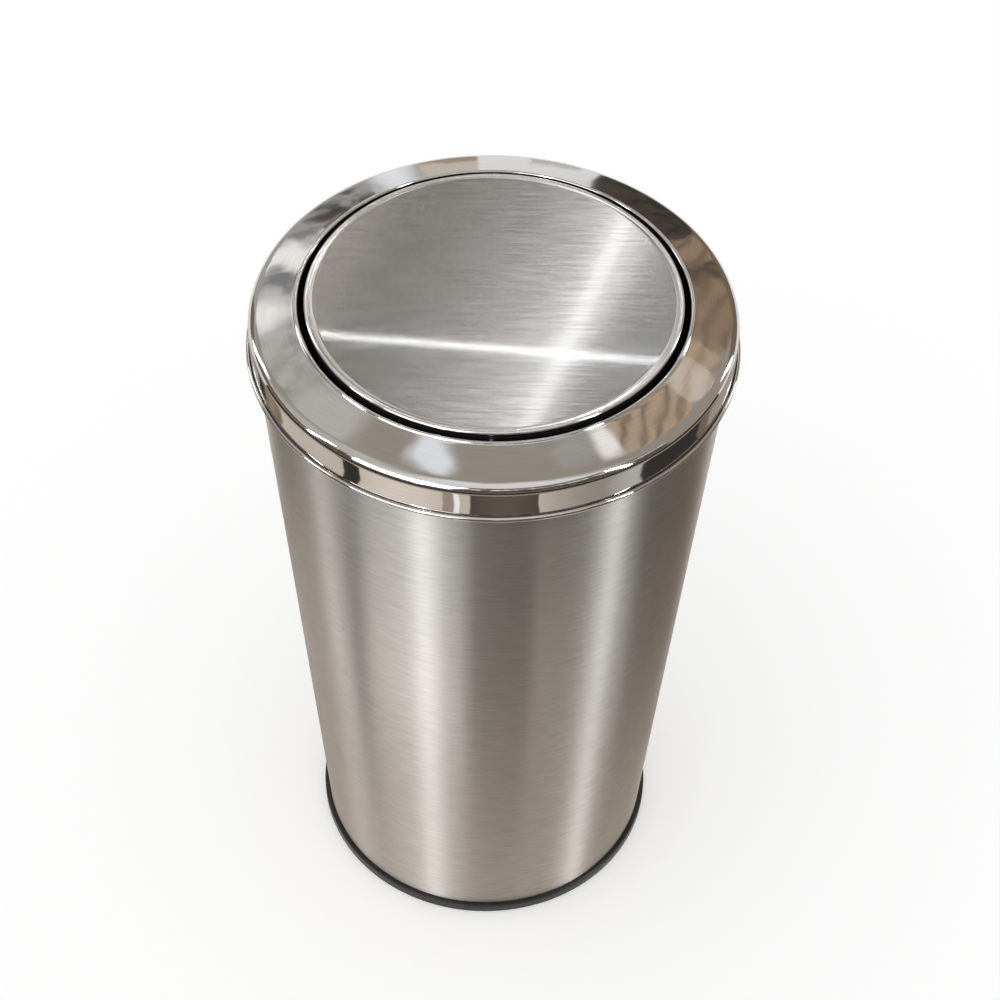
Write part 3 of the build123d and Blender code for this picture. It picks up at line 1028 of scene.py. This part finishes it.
@dataclass(frozen=True)
class Card:
    """A painted card far round the set, a patch of a sphere, which only the metal sees.

    Its spans are in degrees, and it has a facet for each `pitch` of them. `mottle` scales its
    pattern, and `soft` is the share of its width and height over which its edges fade out.
    """

    name: str
    azimuth: tuple[float, float]
    elevation: tuple[float, float]
    tone: Tone
    second: Optional[Tone] = None
    pattern: Pattern = Pattern.MOTTLED
    distance: float = 8.0
    pitch: float = 4.0
    mottle: float = 3.2
    soft: float = 0.0

    def corner(self, azimuth: float, elevation: float) -> Vector:
        """Returns the point of the card at an azimuth and an elevation."""
        return LID_MIDDLE + towards(azimuth, elevation) * self.distance

    def share(self, shader: Shader, right: Signal) -> Signal:
        """Returns how much of the second tone there is.

        Args:
            shader: The card's shader.
            right: The place across the card, 0 at its left edge and 1 at its right.

        Returns:
            The share, from 0 to 1.
        """
        if self.pattern is Pattern.RIGHTWARDS:
            return right * right
        if self.pattern is Pattern.MIDDLE:
            return 4.0 * right * (1 - right)
        where = shader.scaled(self.mottle)
        if self.pattern is Pattern.MOTTLED:
            return shader.noise(where, detail=1.5, swirl=1.4).step(*MOTTLE_EDGES)
        sockets = {"Vector": where, "Scale": 0.28, "Distortion": 5.0, "Detail": 2.0}
        return shader.signal("ShaderNodeTexWave", None, sockets, "Fac").step(*TIMBER_EDGES)

    def paint(self) -> Material:
        """Mixes the card's paint, which may be of two tones and fade out at its edges.

        Returns:
            The paint's material.
        """
        shader = Shader(self.name)
        span = shader.add("ShaderNodeTexCoord").outputs["UV"]
        split = shader.add("ShaderNodeSeparateXYZ", None, {0: span})
        right, up = (Signal(shader, out) for out in list(split.outputs)[:2])
        colour: Any = (*self.tone.value, 1.0)
        if self.second:
            colour = shader.blend(self.share(shader, right), self.tone.value, self.second.value)
        glow = shader.add("ShaderNodeEmission", None, {"Color": colour, "Strength": 1.0})
        if self.soft:
            mask = right.step(0.0, self.soft)
            for edge in (1 - right, up, 1 - up):
                mask = mask * edge.step(0.0, self.soft)
            clear = shader.add("ShaderNodeBsdfTransparent")
            sockets = {0: mask, 1: clear.outputs[0], 2: glow.outputs[0]}
            glow = shader.add("ShaderNodeMixShader", None, sockets)
        material = shader.finish(glow.outputs[0])
        material.cycles.emission_sampling = "NONE"
        return material

    def build(self) -> None:
        """Builds the card."""
        spans = (self.azimuth[1] - self.azimuth[0], self.elevation[1] - self.elevation[0])
        columns, rows = (max(1, math.ceil(abs(span) / self.pitch)) for span in spans)
        turns = [self.azimuth[0] + spans[0] * column / columns for column in range(columns + 1)]
        rises = [self.elevation[0] + spans[1] * row / rows for row in range(rows + 1)]
        points = [self.corner(turn, rise) for rise in rises for turn in turns]
        starts = [row * (columns + 1) + column for row in range(rows) for column in range(columns)]
        faces = [(n, n + 1, n + columns + 2, n + columns + 1) for n in starts]
        mesh = bpy.data.meshes.new(self.name)
        mesh.from_pydata(points, [], faces)
        spans_map = mesh.uv_layers.new(name="span")
        for loop in mesh.loops:
            row, column = divmod(loop.vertex_index, columns + 1)
            spans_map.data[loop.index].uv = (column / columns, row / rows)
        mesh.materials.append(self.paint())
        card = added(self.name, mesh)
        card.visible_camera = False
        card.visible_diffuse = False
        card.visible_shadow = False


@dataclass(frozen=True)
class Screen(Card):
    """A painted card that stands close round the can. Its heights are in metres."""

    distance: float = 0.28
    mottle: float = 26.0

    def corner(self, azimuth: float, elevation: float) -> Vector:
        """Returns the point of the screen at an azimuth and a height."""
        foot = towards(azimuth, 0.0) * self.distance
        return Vector((foot.x, foot.y, elevation))


@dataclass(frozen=True)
class Mat(Card):
    """A painted ring that lies round the can's foot. Its heights are radii, in metres."""

    lift: float = 0.0012

    def corner(self, azimuth: float, elevation: float) -> Vector:
        """Returns the point of the mat at an azimuth and a radius."""
        reach = towards(azimuth, 0.0) * elevation
        return Vector((reach.x, reach.y, self.lift))


@dataclass
class Studio:
    """The floor, the white surroundings, the lamps, the cards and the camera."""

    floor_size: float = 40.0
    floor_tint: Colour = (0.80, 0.80, 0.80)
    floor_lift: float = 0.30
    room_level: float = 0.86
    camera_place: tuple[float, float, float] = (0.0, -0.846557, 1.190031)
    pan: float = 0.0063
    tilt: float = 0.8335
    roll: float = 0.0254
    focal_share: float = 2.30856
    sensor: float = 36.0

    def seen(self, shader: Shader) -> Signal:
        """Tells rays that see the set from rays that light it.

        Args:
            shader: The shader that asks.

        Returns:
            1 for rays from the camera and from metal, or else 0.
        """
        rays = shader.add("ShaderNodeLightPath")
        camera = Signal(shader, rays.outputs["Is Camera Ray"])
        return camera.maths("MAXIMUM", camera, Signal(shader, rays.outputs["Is Glossy Ray"]))

    def build_floor(self) -> None:
        """Lays the pale floor, which keeps the can's shadow."""
        mesh = bpy.data.meshes.new("studio_floor")
        half = self.floor_size / 2.0
        corners = [(-half, -half, 0.0), (half, -half, 0.0), (half, half, 0.0), (-half, half, 0.0)]
        mesh.from_pydata(corners, [], [(0, 1, 2, 3)])
        shader = Shader("studio_floor_paint")
        paint = shader.add("ShaderNodeBsdfDiffuse", None, {"Color": (*self.floor_tint, 1.0)})
        glow = {"Color": PLAIN_WHITE, "Strength": self.seen(shader) * self.floor_lift}
        lift = shader.add("ShaderNodeEmission", None, glow)
        both = shader.add("ShaderNodeAddShader", None, {0: paint.outputs[0], 1: lift.outputs[0]})
        mesh.materials.append(shader.finish(both.outputs[0]))
        shader.material.cycles.emission_sampling = "NONE"
        added("studio_floor", mesh)

    def build_world(self) -> None:
        """Surrounds the set with plain white."""
        world = bpy.data.worlds.new("studio_white")
        bpy.context.scene.world = world
        shader = Shader(world.name, world)
        level = self.room_level + (1.0 - self.room_level) * self.seen(shader)
        sockets = {"Color": PLAIN_WHITE, "Strength": level}
        white = shader.add("ShaderNodeBackground", None, sockets)
        shader.add("ShaderNodeOutputWorld", None, {"Surface": white.outputs[0]})

    def build_lamps(self) -> None:
        """Hangs the lamps."""
        lamps = [
            Lamp("soft_overhead", -140.0, 58.0, 1.4, 1.4, 0.6, on_metal=False),
            Lamp("wide_front_strip", -144.0, 28.0, 1.8, 1.5, 3.2),
            Lamp("front_strip", -151.5, 28.0, 0.20, 1.5, 17.0),
            Lamp("left_strip", -103.0, 26.0, 0.13, 1.5, 14.0),
            Lamp("left_edge_strip", -60.0, 20.0, 0.22, 1.2, 6.0),
            Lamp("right_strip", 124.9, 26.0, 0.12, 1.5, 29.0),
            Lamp("right_edge_strip", 62.0, 16.0, 0.20, 1.0, 8.0),
            Lamp("streak_lamp", 4.8, 44.0, 0.025, 1.6, 2.0, lean=3.2),
            Lamp("ceiling_tube", -0.5, 44.2, 1.4, 0.005, 24.0, lean=-25.2),
        ]
        for lamp in lamps:
            lamp.build()
            LOG.info("lamp %s hung", lamp.name)

    def build_cards(self) -> None:
        """Stands the cards round the set."""
        far, near = 9.0, 7.4
        fade, bell, timber = Pattern.RIGHTWARDS, Pattern.MIDDLE, Pattern.TIMBER
        cards = [
            # The room: its ceiling and the walls that the edges of the rings show.
            Card("ceiling", (-180.0, 180.0), (29.0, 90.0), Tone.TAUPE, distance=far),
            Card("front_ceiling", (90.0, 270.0), (46.0, 90.0), Tone.MILK, distance=8.8, soft=0.22),
            Card("left_ceiling", (-130.0, -57.0), (24.0, 80.0), Tone.SILVER, distance=8.8, soft=0.3),
            Card("front_wall", (105.0, 255.0), (-2.0, 52.0), Tone.BLACK, Tone.UMBER, distance=far),
            Card("right_side_wall", (60.0, 105.0), (-2.0, 29.0), Tone.SAND, distance=far),
            Card("front_windows", (100.0, 260.0), (27.0, 35.0), Tone.BLACK, Tone.WHITE, mottle=1.6),
            Card("left_wall", (-60.0, -12.0), (-2.0, 29.0), Tone.GREY, distance=far),
            Card("left_edge_wall", (-110.0, -41.0), (-2.0, 24.0), Tone.UMBER, distance=8.6),
            Card("right_wall", (9.3, 60.0), (-2.0, 29.0), Tone.UMBER, distance=far),
            # Behind, left of the middle.
            Card("back_post", (-7.0, -1.8), (4.2, 12.0), Tone.TAN_GREY),
            Card("back_post_foot", (-7.0, -1.8), (-2.0, 4.2), Tone.SAND),
            Card("back_window", (-12.5, -7.0), (-2.0, 16.0), Tone.GREY, Tone.COOL_WHITE, bell),
            Card("left_rack", (-21.0, -12.5), (8.0, 19.0), Tone.DARK, Tone.GREY, mottle=1.7),
            Card("left_window", (-30.5, -19.5), (16.0, 29.0), Tone.SLATE, Tone.WHITE, mottle=1.1),
            Card("left_bright_panel", (-42.0, -30.5), (25.0, 41.0), Tone.SLATE, Tone.SILVER, mottle=1.1),
            Card("left_white_sill", (-28.6, -22.8), (16.5, 27.0), Tone.WHITE, distance=7.9, soft=0.25),
            Card("left_white_panel", (-42.5, -30.8), (25.0, 39.0), Tone.WHITE, distance=7.9, soft=0.4),
            Card("left_grey_panel", (-50.0, -38.0), (35.0, 51.0), Tone.GREY, Tone.SILVER, soft=0.15),
            Card("left_silver_panel", (-63.0, -42.0), (47.0, 66.0), Tone.SILVER, soft=0.3),
            Card("left_skylight", (-60.0, -30.0), (71.5, 82.5), Tone.COOL_WHITE, soft=0.3),
            # Behind, right of the middle.
            Card("back_shelf", (3.0, 7.4), (-2.0, 4.4), Tone.SILVER),
            Card("right_shelf_foot", (9.3, 21.5), (4.0, 19.0), Tone.BLACK, Tone.DARK),
            Card("right_board", (21.5, 26.0), (15.0, 24.0), Tone.UMBER, Tone.BROWN, timber),
            Card("right_board_shade", (26.0, 28.8), (18.0, 28.0), Tone.UMBER, Tone.DARK),
            Card("right_wide_board", (28.8, 41.0), (23.0, 39.0), Tone.UMBER, Tone.BROWN, timber),
            Card("right_tan_board", (37.5, 44.0), (38.5, 43.0), Tone.BROWN, Tone.TAN, timber),
            Card("right_cream_board", (40.0, 50.0), (42.5, 50.0), Tone.TAN, Tone.CREAM, timber),
            Card("right_high_board", (43.0, 60.0), (49.5, 65.0), Tone.UMBER, Tone.TAN, timber),
            Card("right_skylight", (43.0, 62.0), (64.6, 69.6), Tone.WHITE, soft=0.3),
            Card("right_ceiling_panel", (37.0, 61.0), (68.0, 78.0), Tone.GREY, soft=0.35),
            # Over the back edge: what the flap shows, and what its rim shows beside that.
            Card("flap_fade", (-5.6, 5.0), (26.0, 60.0), Tone.STONE, Tone.WHITE, fade, near),
            Card("flap_cool_side", (5.0, 20.0), (28.0, 60.0), Tone.SLATE, distance=near),
            Card("flap_low_shade", (-6.9, -2.5), (12.5, 26.0), Tone.UMBER, distance=near),
            Card("flap_low_light", (-2.5, 8.8), (12.5, 26.0), Tone.SILVER, Tone.WHITE, fade, near),
            Card("high_lightbox", (-28.0, 28.0), (74.0, 76.5), Tone.WHITE, distance=near),
            Card("flap_high_shade", (-14.0, 14.0), (60.0, 72.0), Tone.UMBER, distance=near),
            Card("left_lightbox", (-29.0, -14.5), (35.0, 56.0), Tone.WHITE, distance=near),
            Card("right_lightbox", (11.0, 27.0), (34.0, 54.0), Tone.WHITE, distance=7.2),
        ]
        foot, base, tall = 0.1008, (0.001, 0.11), (0.11, 0.27)
        screens = [
            Mat("mat", (-180.0, 180.0), (foot, 0.28), Tone.CREAM),
            Mat("right_mat_foot", (5.0, 85.0), (foot, 0.15), Tone.UMBER, lift=0.0016),
            Mat("left_mat_foot", (-62.0, -25.0), (foot, 0.15), Tone.TAUPE, lift=0.0016),
            Mat("near_floor", (60.0, 300.0), (0.28, 1.0), Tone.TAUPE),
            Mat("front_floor", (75.0, 285.0), (1.0, 8.8), Tone.BLACK),
            Screen("skirting", (-180.0, 180.0), base, Tone.SAND),
            Screen("left_silver_screen", (-61.0, -20.0), tall, Tone.GREY),
            Screen("left_dark_screen", (-70.0, -61.0), tall, Tone.BLACK),
            Screen("left_umber_screen", (-85.0, -70.0), tall, Tone.BROWN, Tone.UMBER),
            Screen("left_cream_screen", (-122.5, -85.0), tall, Tone.TAN_GREY),
            Screen("left_slot", (-130.0, -122.5), tall, Tone.BLACK),
            Screen("front_cream_screen", (-163.0, -130.0), tall, Tone.CREAM, Tone.PALE, bell),
            Screen("front_slat", (-166.9, -163.0), tall, Tone.SAND),
            Screen("front_white_slat", (-168.9, -166.9), tall, Tone.WHITE),
            Screen("front_sand_screen", (-172.7, -168.9), tall, Tone.TAN_GREY),
            Screen("front_dark_screen", (162.5, 187.3), tall, Tone.DARK, Tone.SOOT, bell),
            Screen("front_brown_screen", (137.0, 162.5), tall, Tone.TAUPE, Tone.TAN_GREY, fade),
            Screen("right_cream_screen", (121.0, 137.0), tall, Tone.SILVER, Tone.TAUPE, fade),
            Screen("right_dark_screen", (88.0, 121.0), tall, Tone.BLACK),
            Screen("right_brown_screen", (80.0, 88.0), tall, Tone.UMBER),
            Screen("right_grey_screen", (20.0, 80.0), tall, Tone.TAUPE, Tone.SAND),
        ]
        for card in cards + screens:
            card.build()
        LOG.info("%d cards stood round the set", len(cards) + len(screens))

    def build_camera(self) -> None:
        """Places the camera above the front of the can, looking down at the lid."""
        ahead = towards(math.degrees(self.pan), -math.degrees(self.tilt))
        level = Vector((math.cos(self.pan), -math.sin(self.pan), 0.0))
        upright = level.cross(ahead)
        axes = Matrix((level, upright, -ahead)).transposed() @ Matrix.Rotation(self.roll, 3, "Z")
        data = bpy.data.cameras.new("product_camera")
        data.sensor_width = self.sensor
        data.lens = self.sensor * self.focal_share
        camera = added("product_camera", data)
        camera.matrix_world = Matrix.Translation(self.camera_place) @ axes.to_4x4()
        bpy.context.scene.camera = camera

    def build(self) -> None:
        """Builds the whole set."""
        self.build_floor()
        self.build_world()
        self.build_lamps()
        self.build_cards()
        self.build_camera()
        bpy.context.scene.view_settings.view_transform = "Standard"


def main() -> None:
    """Builds the sub-assemblies and the studio."""
    logging.basicConfig(level=logging.INFO, format="%(name)s: %(message)s")
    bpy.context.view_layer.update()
    CanBody().dress()
    lid = LidAssembly()
    lid.build_ring()
    lid.dress()
    flap = FlapAssembly()
    flap.build_skin()
    flap.dress()
    Studio().build()


if __name__ == "__main__":
    main()
